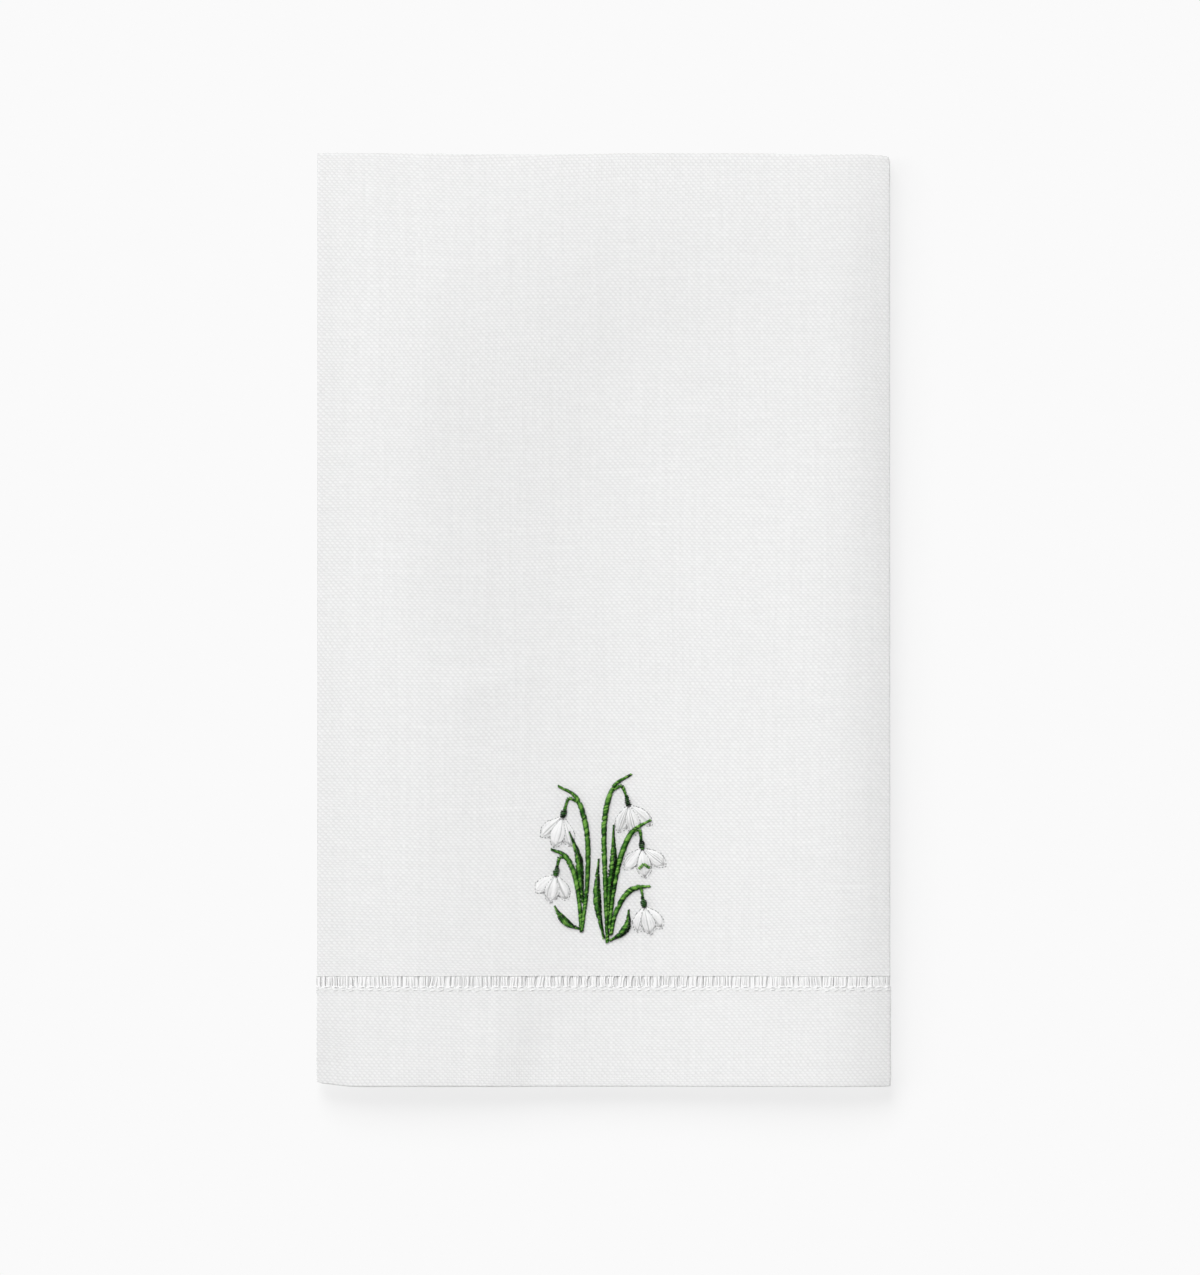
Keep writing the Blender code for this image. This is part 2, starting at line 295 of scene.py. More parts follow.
FLOWERS = (  # stem points, pedicel points, lean in degrees, spread of its petals, petal length, green mark
    (((-4.9, 5.0), (-5.4, 12.5), (-6.8, 20.5), (-9.8, 26.6), (-14.0, 28.6)),
     ((-9.0, 25.8), (-11.4, 26.2), (-12.2, 23.4)), -12, 36, 9.0, False),
    (((-4.6, 3.4), (-2.9, 19.0), (-3.1, 34.0), (-6.2, 44.4), (-11.8, 48.2)),
     ((-5.4, 43.0), (-8.6, 44.4), (-9.8, 41.4)), -16, 30, 10.2, False),
    (((3.3, 0.0), (2.6, 19.0), (2.4, 37.0), (5.0, 47.6), (10.6, 51.8)),
     ((4.4, 46.4), (7.6, 48.2), (9.2, 45.0)), 14, 33, 10.0, False),
    (((3.9, 4.4), (5.4, 17.0), (7.8, 27.4), (11.2, 34.3), (16.6, 37.6)),
     ((10.6, 33.6), (13.2, 34.5), (13.8, 31.5)), 6, 46, 9.4, True),
    (((4.4, 2.4), (5.7, 8.4), (8.4, 13.8), (11.6, 16.6), (16.4, 17.2)),
     ((11.0, 16.2), (13.6, 16.6), (14.2, 13.6)), 12, 27, 9.2, False),
)


def grey(tone):
    return (tone, tone, tone, 1.0)


# The threads' colours: dark, middle and light
STRAND_GREYS = (grey(0.78), grey(0.83), grey(0.87))
SEWING_GREYS = (grey(0.64), grey(0.70), grey(0.76))
# The greens run from near black, used for painted shade, to a light green used for painted highlight.
GREENS = ((0.001, 0.007, 0.001, 1), (0.022, 0.125, 0.008, 1), (0.20, 0.42, 0.08, 1))
PETAL_GREYS = (grey(0.52), grey(0.78), grey(0.91))
OUTLINE_GREYS = (grey(0.12), grey(0.28), grey(0.52))

# The photograph's frame, and where the towel lies in it
IMAGE_WIDTH_PX = 1200
IMAGE_HEIGHT_PX = 1275
TOWEL_WIDTH_PX = 573.6
TOWEL_CENTRE_PX = (602.8, 618.8)
CAMERA_HEIGHT = 1.6
SENSOR = 36.0

# The stage
FLOOR_REACH = 3.0
FLOOR_TONE = 0.22
FLOOR_GLOW = 0.73
SUNS = (  # name, strength, then spread, azimuth and elevation in degrees
    ("key", 3.30, 40, -16, 34),
    ("side_light", 1.55, 50, -78, 28),
)
HORIZON = 2.2  # strength of the room's light near the horizon
HORIZON_FADE = (0.22, 0.46)  # sines of the elevations between which it fades
WHITE = 0.956  # where the photograph's white stops


# ---- folding


def smooth(value):
    """0 below 0, 1 above 1, and a soft curve between."""
    value = np.clip(value, 0.0, 1.0)
    return value * value * (3 - 2 * value)


FRONT_EDGE_Y = -FRONT_LENGTH / 2
BACK_EDGE_Y = FRONT_EDGE_Y + BACK_SHORTER
CROSS_FOLD_Y = FRONT_LENGTH / 2 - PRESSED * HALF_STACK * EDGE_PITCH - LINEN / 2
SIDE_FOLD_X = PANEL_WIDTH / 2 - SIDE_PRESSED * EDGE_PITCH / 2 - LINEN / 2
SIDE_ARC = math.pi * EDGE_PITCH / 2 * (1 + SIDE_PRESSED) / 2
CROSS_ARC = math.pi * HALF_STACK * EDGE_PITCH * (1 + PRESSED) / 2
FRONT_RUN = CROSS_FOLD_Y - FRONT_EDGE_Y
BACK_RUN = CROSS_FOLD_Y - BACK_EDGE_Y
CLOTH_LENGTH = FRONT_RUN + CROSS_ARC + BACK_RUN
HALF_CLOTH = 2 * SIDE_FOLD_X + SIDE_ARC - FLAP_GAP / 2
LADDER_TOP = HEM_DEPTH + LADDER_HEIGHT


def across_station(u):
    """(x, turn) of a flat place: turn is 0 on the panel and 1 on the side turned in behind it."""
    past = np.abs(u) - SIDE_FOLD_X
    turn = np.clip(past / SIDE_ARC, 0.0, 1.0)
    x = np.where(past < 0, np.abs(u), SIDE_FOLD_X - np.maximum(past - SIDE_ARC, 0.0))
    return np.copysign(x, u), turn


def along_station(v):
    """(y, turn) of a flat place: turn is 0 on the front and 1 on the back."""
    past = v - FRONT_RUN
    turn = np.clip(past / CROSS_ARC, 0.0, 1.0)
    y = CROSS_FOLD_Y + np.minimum(past, 0.0) - np.maximum(past - CROSS_ARC, 0.0)
    return y, turn


def shoulder(distance, width, at_edge=0.0):
    """at_edge on an edge, steepest there, and rounding off to 1 at width from it."""
    left_over = 1 - np.clip(distance / width, 0.0, 1.0)
    return 1 - (1 - at_edge) * left_over ** SHOULDER_POWER


def relief(x, y):
    """Height that the topmost layer gains over the pressed edges, at a place on the towel."""
    from_left = shoulder(x + PANEL_WIDTH / 2, LEFT_SHOULDER, LEFT_CROWN)
    from_right = shoulder(PANEL_WIDTH / 2 - x, RIGHT_SHOULDER)
    from_top = shoulder(FRONT_LENGTH / 2 - y, TOP_SHOULDER, TOP_CROWN)
    from_hem = shoulder(FRONT_LENGTH / 2 + y, HEM_SHOULDER, HEM_CROWN)
    crown = from_left * from_right * from_top * from_hem
    from_middle = x - TROUGH_MIDDLE - TROUGH_LEAN * smooth((y - LEAN_START) / LEAN_RUN)
    across = from_middle / np.where(from_middle < 0, TROUGH_LEFT_REACH, TROUGH_RIGHT_REACH)
    down = smooth((FRONT_LENGTH / 2 - y) / TROUGH_START)
    trough = np.exp(-across * across) * down
    return crown * (CROWN - TROUGH * trough + forms(BROAD_FORMS, x, y) + forms(CREASES, x, y))


def forms(rows, x, y):
    """Height of listed soft ridges, and of troughs where it is less than 0, at a place on the towel."""
    height = np.zeros(np.broadcast(x, y).shape)
    for middle_x, middle_y, angle, length, width, rise in rows:
        turn = math.radians(angle)
        along = (x - middle_x * MM) * math.cos(turn) + (y - middle_y * MM) * math.sin(turn)
        across = (y - middle_y * MM) * math.cos(turn) - (x - middle_x * MM) * math.sin(turn)
        height += rise * MM * np.exp(-(along / (length * MM)) ** 2 - (across / (width * MM)) ** 2)
    return height


def pitch(x, y):
    """Height from one layer's middle to the next, at a place on the towel."""
    over_hems = 1 - smooth((y - BACK_EDGE_Y - LADDER_TOP) / HEM_RAMP)
    pressed = EDGE_PITCH + (HEM_PITCH - EDGE_PITCH) * over_hems
    return pressed + relief(x, y) / (LAYERS - 1)


def rounded_corners(x, y):
    """Moves the points near the four corners in, so that each square corner becomes a quarter round."""
    for (right, top), radius in CORNER_RADII.items():
        across = (np.abs(x) - PANEL_WIDTH / 2) / radius + 1
        along = (np.abs(y) - FRONT_LENGTH / 2) / radius + 1
        near = (across > 0) & (along > 0) & ((x > 0) == right) & ((y > 0) == top)
        moved_x = np.where(near, across, 0.0) * np.sqrt(1 - np.where(near, along, 0.0) ** 2 / 2)
        moved_y = np.where(near, along, 0.0) * np.sqrt(1 - np.where(near, across, 0.0) ** 2 / 2)
        x = np.where(near, np.copysign(PANEL_WIDTH / 2 + (moved_x - 1) * radius, x), x)
        y = np.where(near, np.copysign(FRONT_LENGTH / 2 + (moved_y - 1) * radius, y), y)
    return x, y


def uneven_outline(x, y):
    """Waves the cross fold and draws two corners in, fading out inside the towel."""
    upness = smooth(0.5 + y / FRONT_LENGTH)
    near_hem = smooth((FRONT_EDGE_Y + HEM_DEPTH - y) / HEM_DEPTH)
    top_wave = TOP_WAVE * np.cos(2 * math.pi * (x - TOP_WAVE_CREST) / TOP_WAVE_LENGTH)
    dip = RIGHT_FOLD_DIP * smooth(1 - (PANEL_WIDTH / 2 - x) / RIGHT_FOLD_DIP_WIDTH)
    rise = LEFT_HEM_RISE * smooth(1 - (x + PANEL_WIDTH / 2) / LEFT_HEM_RISE_WIDTH)
    return x, y + (top_wave - dip) * upness + rise * near_hem


def behind_panel(x, y):
    """Distance from a panel's middle to the middle of the side turned in behind it."""
    near = smooth((SIDE_FOLD_X - np.abs(x)) / INNER_RISE)
    gap = INNER_GAP + INNER_SAG * np.exp(-(x / INNER_SAG_REACH) ** 2)
    return pitch(x, y) + near * (gap - pitch(x, y))


def folded(u, v):
    """Where the cloth's middle surface lies at flat places (u, v), as an array of points."""
    x, side_turn = across_station(u)
    y, cross_turn = along_station(v)
    local = pitch(x, y)
    drawn_in = BACK_TAPER * cross_turn * (CROSS_FOLD_Y - y) / BACK_RUN / (PANEL_WIDTH / 2)
    bulge = np.copysign(SIDE_PRESSED * EDGE_PITCH / 2 * np.sin(math.pi * side_turn), x)
    reach = (1 + np.cos(math.pi * side_turn) / 2) * local
    reach = reach + (side_turn >= 1) * (local - behind_panel(x, y))
    out_x = x * (1 - drawn_in) + bulge
    out_y = y + PRESSED * reach * np.sin(math.pi * cross_turn)
    height = reach * np.cos(math.pi * cross_turn)
    out_x, out_y = uneven_outline(*rounded_corners(out_x, out_y))
    past = (BACK_EDGE_Y - y) / BACK_SHORTER
    near_corner = shoulder(x + PANEL_WIDTH / 2, CORNER_DROOP_REACH)
    hang = CORNER_DROOP * (1 - near_corner) * smooth(past / 2) * (height > 0)
    # The back's hem is thicker than its cloth, and both lie with their undersides on the surface.
    base = LINEN / 2 + PLY_HALF_GAP * (1 - smooth((y - BACK_EDGE_Y - HEM_DEPTH) / HEM_RAMP))
    return np.stack([out_x, out_y, base + HALF_STACK * local + height - hang], axis=-1)


def normals(u, v):
    """The cloth's outward direction at flat places: up on the front panel."""
    step = NORMAL_STEP
    du = folded(u + step, v) - folded(u - step, v)
    dv = folded(u, v + step) - folded(u, v - step)
    out = np.cross(du, dv)
    return out / np.linalg.norm(out, axis=-1, keepdims=True)


def place(u, v, lift):
    """Points that stand off the cloth's middle surface by lift, on its outward side."""
    return folded(u, v) + normals(u, v) * np.asarray(lift)[..., None]


# ---- meshes


def added(name, data):
    """A new object that is in the scene."""
    piece = bpy.data.objects.new(name, data)
    bpy.context.scene.collection.objects.link(piece)
    return piece


def new_object(name, points, faces, material):
    mesh = bpy.data.meshes.new(name)
    mesh.from_pydata(points.reshape(-1, 3).tolist(), [], faces)
    mesh.polygons.foreach_set("use_smooth", [True] * len(mesh.polygons))
    mesh.materials.append(material)
    return added(name, mesh)


def keep(piece, name, values, kind="FLOAT"):
    """Keeps a value for each point, which the material reads by name."""
    field = "vector" if kind == "FLOAT_VECTOR" else "value"
    attribute = piece.data.attributes.new(name, kind, "POINT")
    attribute.data.foreach_set(field, np.asarray(values, np.float32).ravel())


def grid_faces(rows, columns):
    at = np.arange(rows * columns).reshape(rows, columns)
    corners = [at[:-1, :-1], at[:-1, 1:], at[1:, 1:], at[1:, :-1]]
    return np.stack(corners, axis=-1).reshape(-1, 4).tolist()


def stretch(first, last, step):
    """Evenly spaced numbers from first to last, about step apart."""
    return np.linspace(first, last, max(2, 1 + round(abs(last - first) / step)))


def edged(first, last, step):
    """A stretch with one more line close to each end, so that what lies between stays flat."""
    inset = math.copysign(EDGE_STEP, last - first)
    return np.concatenate([[first], stretch(first + inset, last - inset, step), [last]])


def cloth_lines_across():
    """u of the sheet's lines: fine on the panel, finest round the side folds, coarse on the hidden sides."""
    panel = edged(-SIDE_FOLD_X, SIDE_FOLD_X, PANEL_STEP)
    fold = stretch(SIDE_FOLD_X, SIDE_FOLD_X + SIDE_ARC, SIDE_FOLD_STEP)[1:]
    flap = stretch(SIDE_FOLD_X + SIDE_ARC, HALF_CLOTH, FLAP_STEP)[1:]
    right = np.concatenate([fold, flap])
    return np.concatenate([-right[::-1], panel, right])


def cloth_sheet(name, v, lift, woven_v, painted_edge_shading, material):
    """A length of the cloth over rows (v, lift), with woven_v the place of each row in the flat weave.

    Its cut edges differ from the rest by painted_edge_shading."""
    u = cloth_lines_across()
    grid_u, grid_v = np.meshgrid(u, v)
    points = place(grid_u, grid_v, np.broadcast_to(lift[:, None], grid_u.shape))
    sheet = new_object(name, points, grid_faces(len(v), len(u)), material)
    woven = np.broadcast_to(woven_v[:, None], grid_u.shape)
    keep(sheet, "flat", np.stack([grid_u, woven, np.zeros_like(grid_u)], axis=-1), "FLOAT_VECTOR")
    # Painted light along the cut edges where the value is above 0, and painted shade where it is below.
    at_edge = np.zeros(grid_u.shape)
    at_edge[[0, -1]] = 1.0
    keep(sheet, "painted_edge_shading", painted_edge_shading * at_edge)
    solidify = sheet.modifiers.new("linen", "SOLIDIFY")
    solidify.thickness = LINEN
    solidify.offset = 0
    solidify.use_quality_normals = True
    return sheet


def distances(path):
    """How far along a path each of its points lies."""
    return np.concatenate([[0.0], np.cumsum(np.linalg.norm(np.diff(path, axis=0), axis=1))])


def points_at(at, path):
    """Points of a path at some distances along it."""
    gone = distances(path)
    return np.stack([np.interp(at, gone, path[:, axis]) for axis in (0, 1)], axis=-1)


def hem_rows():
    """Rows (v, lift, woven v) of a hem, from its upper edge down the face, round the fold and up behind."""
    radius = PLY_HALF_GAP
    fold_v = radius + LINEN / 2
    face = edged(HEM_DEPTH, fold_v, HEM_STEP)
    turn = np.linspace(0, math.pi, HEM_FOLD_POINTS)[1:-1]
    v = np.concatenate([face, fold_v - radius * np.sin(turn), face[::-1]])
    lift = np.concatenate([np.full(len(face), radius), radius * np.cos(turn), np.full(len(face), -radius)])
    return v, lift, HEM_DEPTH - distances(np.stack([v, lift], axis=-1))


def main_sheets(material):
    """The towel's body and its front and back hems."""
    body_v = np.concatenate([
        edged(LADDER_TOP, FRONT_RUN, FRONT_STEP),
        stretch(FRONT_RUN, FRONT_RUN + CROSS_ARC, CROSS_FOLD_STEP)[1:],
        edged(FRONT_RUN + CROSS_ARC, CLOTH_LENGTH - LADDER_TOP, BACK_STEP)[1:],
    ])
    body = cloth_sheet("towel_body", body_v, np.zeros_like(body_v), body_v, BODY_EDGE_PAINTED_LIGHT, material)
    v, lift, woven = hem_rows()
    front = cloth_sheet("front_hem", v, lift, woven, HEM_EDGE_PAINTED_SHADE, material)
    back = cloth_sheet("back_hem", CLOTH_LENGTH - v, lift, CLOTH_LENGTH - woven, HEM_EDGE_PAINTED_SHADE, material)
    return body, front, back


# ---- sewing


def threads(name, paths, lifts, size, tint, material, taper=None):
    """Joined closed tubes on flat paths (thread, point, uv), at lifts (thread, point) off the cloth's middle.

    Sizes are a width and a height, each one number or one for each thread."""
    count, length = lifts.shape
    width, height = (np.reshape(value, (-1, 1, 1)) for value in size)
    step = np.gradient(paths, axis=1)
    run = np.linalg.norm(step, axis=-1)
    along = step / run[..., None]
    aside = np.stack([-along[..., 1], along[..., 0]], axis=-1)
    slope = np.arctan2(np.gradient(lifts, axis=1), run)
    thinned = np.ones(length) if taper is None else np.asarray(taper)
    turn = np.arange(TUBE_SIDES) * 2 * math.pi / TUBE_SIDES
    across = width / 2 * np.cos(turn) * thinned[:, None]
    up = height / 2 * np.sin(turn) * thinned[:, None]
    flat = (
        paths[:, :, None]
        + aside[:, :, None] * across[..., None]
        - (along * np.sin(slope)[..., None])[:, :, None] * up[..., None]
    )
    lift = lifts[..., None] + np.cos(slope)[..., None] * up
    points = place(flat[..., 0], flat[..., 1], lift)
    points[..., 2] = np.maximum(points[..., 2], FLATTENED)
    ring = np.arange(count * length * TUBE_SIDES).reshape(count, length, TUBE_SIDES)
    near, far = ring[:, :-1], ring[:, 1:]
    walls = np.stack([near, np.roll(near, -1, axis=2), np.roll(far, -1, axis=2), far], axis=-1)
    faces = walls.reshape(-1, 4).tolist() + ring[:, 0, ::-1].tolist() + ring[:, -1].tolist()
    piece = new_object(name, points, faces, material)
    distance = np.cumsum(run, axis=1)[..., None] + 0 * up
    angle = turn + 0 * lift
    own = np.arange(count)[:, None, None] + 0 * lift
    keep(piece, "strand", np.stack([distance, angle, own], axis=-1), "FLOAT_VECTOR")
    keep(piece, "tint", np.broadcast_to(np.reshape(tint, (count, -1, 1)), lift.shape))
    return piece


def joined(pieces):
    """One thread list from several: each is (paths, lifts, tint) with the same number of points."""
    return [np.concatenate(part) for part in zip(*pieces)]


def arch(length, low, high):
    """Lifts of a stitch that comes up out of the cloth, crosses and goes down again."""
    share = np.abs(np.linspace(-1, 1, length)) ** ARCH_POWER
    return high + (low - high) * share


def bundle_places():
    """u of each bundle of drawn threads, across the whole cloth."""
    count = 2 * round(HALF_CLOTH / BUNDLE_PITCH - 0.5) + 1
    even = (np.arange(count) - (count - 1) / 2) * 2 * HALF_CLOTH / count
    shift = np.where(np.abs(even) > SIDE_FOLD_X, 0.0, BUNDLE_SHIFT) * BUNDLE_PITCH
    return even + shift * RANDOM.normal(0, 1, count)


def ladder(name, hem_top, body_edge, material):
    """The bundles between a hem and the cloth, as hour-glass groups of strands, and their middles.

    They are tightest at the towel's middle, and the ones on the turned-in sides aren't gathered."""
    middles = bundle_places()
    share = np.linspace(0, 1, STRAND_POINTS)
    outer = smooth(np.abs(middles) / WAIST_REACH)
    waist = WAIST_MIDDLE + (WAIST_EDGE - WAIST_MIDDLE) * outer
    waist = waist + RANDOM.normal(0, WAIST_UNEVEN, len(middles))
    turned_in = np.abs(middles) > SIDE_FOLD_X + SIDE_ARC
    waist = np.where(turned_in, 1.0, waist)
    widths = STRAND[0] + (STRAND_AT_SIDE - STRAND[0]) * outer
    widths = np.where(turned_in, RELAXED_STRAND * BUNDLE_PITCH / STRANDS_PER_BUNDLE, widths)
    gathered = np.sin(math.pi * share) ** GATHER_POWER
    emerging = np.interp(share, *STRAND_EMERGES)
    lean = RANDOM.normal(0, BUNDLE_LEAN, len(middles)) * BUNDLE_PITCH
    direction = np.sign(body_edge - hem_top)
    first, last = hem_top - direction * STRAND_TUCK, body_edge + direction * STRAND_TUCK
    pieces = []
    for strand in range(STRANDS_PER_BUNDLE):
        offset = (strand - (STRANDS_PER_BUNDLE - 1) / 2) / STRANDS_PER_BUNDLE * BUNDLE_PITCH
        jitter = np.where(turned_in, 0.0, STRAND_SHIFT) * RANDOM.normal(0, 1, len(middles))
        offset = offset + jitter[:, None] * BUNDLE_PITCH
        spread = 1 + (waist[:, None] - 1) * gathered
        u = middles[:, None] + offset * spread + lean[:, None] * (share - 0.5)
        v = np.broadcast_to(first + (last - first) * share, u.shape)
        stagger = STRAND_STAGGER * (strand % 2 * 2 - 1)
        sag = gathered * (stagger + RANDOM.normal(0, STRAND_UNEVEN, (len(middles), 1)))
        x = across_station(u)[0]
        y = along_station(v)[0]
        from_bundle = np.abs(x[..., None] - middles).min(axis=-1) / BUNDLE_PITCH
        between = smooth((from_bundle - BETWEEN_START) / BETWEEN_RUN)
        relaxed = RELAXED_DEPTH - BETWEEN_RISE * between * gathered ** BETWEEN_POWER - behind_panel(x, y)
        sag = np.where(turned_in[:, None], relaxed, sag + STRAND_RISE * emerging)
        # Painted shade: the turned-in strands lie behind the others, in their shade, and take the darkest
        # tint.
        tint = np.where(turned_in, 0.0, RANDOM.uniform(*STRAND_TINTS, len(middles)))
        pieces.append((np.stack([u, v], axis=-1), sag + 0 * u, tint))
    paths, lifts, tint = joined(pieces)
    size = (np.tile(widths, STRANDS_PER_BUNDLE), STRAND[1])
    return threads(name, paths, lifts, size, tint, material, STRAND_SWELL), middles


def hem_stitches(name, middles, hem_top, body_edge, material):
    """One thread round each bundle at the hem's edge, and one that bites into the hem beside it."""
    direction = np.sign(body_edge - hem_top)
    count = len(middles)
    share = np.linspace(-1, 1, STITCH_POINTS)
    half = BUNDLE_PITCH * RANDOM.uniform(*LOOP_HALF, (count, 1))
    ply = PLY_HALF_GAP + LINEN / 2
    loop_u = middles[:, None] + half * share
    rise = RANDOM.normal(0, STITCH_UNEVEN, (count, 1))
    loop_v = hem_top + direction * (LOOP_PLACE + rise - LOOP_BOW * share ** 2)
    loops = np.stack([loop_u, loop_v], axis=-1)
    loop_lifts = arch(STITCH_POINTS, 0.0, ply + LOOP_RISE) + 0 * loop_u
    bite_u = middles[:, None] + BUNDLE_PITCH * (BITE_HALF * share + RANDOM.normal(0, BITE_SHIFT, (count, 1)))
    slant = RANDOM.normal(*BITE_SLANT, (count, 1))
    bite_v = hem_top - direction * (BITE_PLACE + rise - slant * share)
    bites = np.stack([bite_u, bite_v + 0 * bite_u], axis=-1)
    bite_lifts = arch(STITCH_POINTS, ply - BITE_SINK, ply + BITE_RISE) + 0 * bite_u
    tint = RANDOM.uniform(*STITCH_TINTS, count)
    paths, lifts, tints = joined([(loops, loop_lifts, tint), (bites, bite_lifts, tint)])
    return threads(name, paths, lifts, HEM_STITCH, tints, material)


# ---- spray


def bend(points, count):
    """A smooth curve through a few given points, as evenly spaced points, and its length."""
    points = np.asarray(points, float)
    ends = np.concatenate([[2 * points[0] - points[1]], points, [2 * points[-1] - points[-2]]])
    parts = []
    for a, b, c, d in zip(ends, ends[1:], ends[2:], ends[3:]):
        t = np.linspace(0, 1, BEND_POINTS)[:, None]
        parts.append(0.5 * (2 * b + (c - a) * t + (2 * a - 5 * b + 4 * c - d) * t ** 2
                            + (3 * b - a - 3 * c + d) * t ** 3))
    fine = np.concatenate(parts)
    run = distances(fine)[-1]
    return points_at(np.linspace(0, run, count), fine), run


def on_towel(points_mm):
    """Flat (u, v) of places given in mm from the spray's foot."""
    return np.asarray(points_mm) * MM + np.array([SPRAY_FOOT[0], SPRAY_FOOT[1] - FRONT_EDGE_Y])


def satin(points, width, tones, slant=0.5, high=0.55, base=0.0, sides=(-1.0, 1.0)):
    """Satin stitches over a strip, as one thread list.

    Its width is a function of the share along it, and its tones run from side to side. A slant leads
    the stitches forward on one side. It is high in its middle and lies on base, both in mm, and
    covers only the part of its width between its sides."""
    _, run = bend(points, 2)
    count = max(3, round(run * MM / SATIN_PITCH))
    middle, _ = bend(points, count)
    step = np.gradient(middle, axis=0)
    step /= np.linalg.norm(step, axis=1, keepdims=True)
    aside = np.stack([step[:, 1], -step[:, 0]], axis=-1)
    share = np.linspace(0, 1, count)
    half = width(share)[:, None] / 2
    across = np.linspace(*sides, SPRAY_POINTS)
    ragged = RANDOM.normal(0, SATIN_RAGGED, (count, 2))
    across = across * (1 + np.where(across < 0, ragged[:, :1], ragged[:, 1:]))
    lead = slant * half * across
    paths = middle[:, None] + aside[:, None] * (half * across)[..., None] + step[:, None] * lead[..., None]
    top = LINEN / 2 + high * MM * np.clip(half, *SATIN_FULLNESS)
    lifts = base * MM + top + (LINEN / 2 - SATIN_SINK - top) * np.abs(across) ** ARCH_POWER
    lifts = lifts + RANDOM.normal(0, SATIN_UNEVEN, (count, 1))
    # These tones across the strip paint its highlight and shade, and on leaves also set their two greens.
    tone = np.interp(np.linspace(-1, 1, SPRAY_POINTS), np.linspace(-1, 1, len(tones)), tones)
    tint = tone + RANDOM.normal(0, SATIN_TINT, (count, 1))
    return on_towel(paths), lifts, tint


def tapering(widest, foot, tip, peak):
    """A strip's width along its share, from a foot through its widest place to a tip, in mm."""
    def width(share):
        rise = foot + (1 - foot) * smooth(share / peak)
        fall = tip + (1 - tip) * smooth((1 - share) / (1 - peak))
        return widest * rise * fall
    return width


def petal_half(share, width):
    """Half a petal's width at a share of its length."""
    return width / 2 * np.sin(math.pi * share ** PETAL_LEAN) ** PETAL_BLUNT


def hanging(angle):
    """Directions along something that hangs at an angle from straight down, and aside from it."""
    turn = math.radians(angle)
    return np.array([math.sin(turn), -math.cos(turn)]), np.array([math.cos(turn), math.sin(turn)])


def petal(base, angle, length, width, lift):
    """A petal's lengthwise threads and its outline, hanging from base at an angle from straight down."""
    down, aside = hanging(angle)
    share = np.linspace(0, 1, SPRAY_POINTS)
    half = petal_half(np.clip(share, *PETAL_SHARES), width)
    rows = np.linspace(-PETAL_REACH, PETAL_REACH, PETAL_THREADS)[:, None]
    shorter = 1 - PETAL_SHORTER * np.abs(rows) ** SHORTER_POWER
    run = length * (0.5 + (share - 0.5) * shorter) + RANDOM.normal(0, PETAL_UNEVEN, (PETAL_THREADS, 1))
    paths = base + down * run[..., None] + aside * (rows * half)[..., None]
    surface = lift * MM + LINEN / 2
    crown = surface + PETAL_CROWN * (1 - PETAL_FALL * rows ** 2)
    lifts = crown + (LINEN / 2 - PETAL_SINK - crown) * np.abs(2 * share - 1) ** PETAL_ARCH_POWER
    # Painted shade on the threads that are taken to lie deeper.
    darker = DEEP_THREAD_SHADE * (RANDOM.uniform(0, 1, (PETAL_THREADS, 1)) < GREY_SHARE)
    tint = RANDOM.uniform(*PETAL_TINTS, (PETAL_THREADS, 1)) - darker + 0 * lifts
    fill = on_towel(paths), lifts, tint

    fine = np.linspace(0, 1, OUTLINE_POINTS)
    edge = aside * (OUTLINE_WIDER * petal_half(np.maximum(fine, OUTLINE_LEAST), width))[:, None]
    middle = base + down * (length * fine)[:, None]
    loop = np.concatenate([middle - edge, (middle + edge)[::-1]])
    begin, stop = OUTLINE_ENDS
    starts = np.arange(begin, distances(loop)[-1] - stop, (OUTLINE_STITCH + OUTLINE_GAP) / MM)
    starts = starts + RANDOM.normal(0, OUTLINE_UNEVEN[0], len(starts))
    at = starts[:, None] + np.linspace(0, OUTLINE_STITCH / MM, SPRAY_POINTS)
    stitches = points_at(at, loop) + RANDOM.normal(0, OUTLINE_UNEVEN[1], (len(starts), 1, 2))
    low, high = (surface + rise for rise in OUTLINE_LIFTS)
    tint = RANDOM.uniform(0, 1, (len(starts), 1)) + 0 * at
    outline = on_towel(stitches), arch(SPRAY_POINTS, low, high) + 0 * at, tint
    return fill, outline


def flower(stem, pedicel, lean, spread, petal_length, marked):
    """One nodding flower: (green, white, outline) thread lists."""
    green = [satin(stem, tapering(*STEM_TAPER), STEM_PAINTED_SHADING, slant=0.6)]
    green.append(satin(pedicel, tapering(*PEDICEL_TAPER), STEM_PAINTED_SHADING, high=0.45))
    hang = np.array(pedicel[-1], float)
    down, aside = hanging(lean)
    cap_end = hang + down * CAP_LENGTH
    green.append(satin((hang, cap_end), tapering(*CAP_TAPER), CAP_PAINTED_SHADING, slant=0.1, high=0.75))
    white, outlines = [], []
    petal_foot = cap_end - down * PETAL_TUCK
    for side, part, width, lift in PETALS:
        fill, outline = petal(petal_foot, lean + side * spread, petal_length * part, width, lift)
        white.append(fill)
        outlines.append(outline)
    if marked:
        tip = cap_end + down * petal_length * MARK_PLACE
        for side in (1, -1):
            foot = tip + aside * side * MARK_ARM[0] + down * MARK_ARM[1]
            arm = (tip + aside * side * MARK_APART, foot)
            green.append(satin(arm, tapering(*MARK_TAPER), MARK_PAINTED_HIGHLIGHT, slant=0.0, high=0.45, base=0.2))
    return green, white, outlines


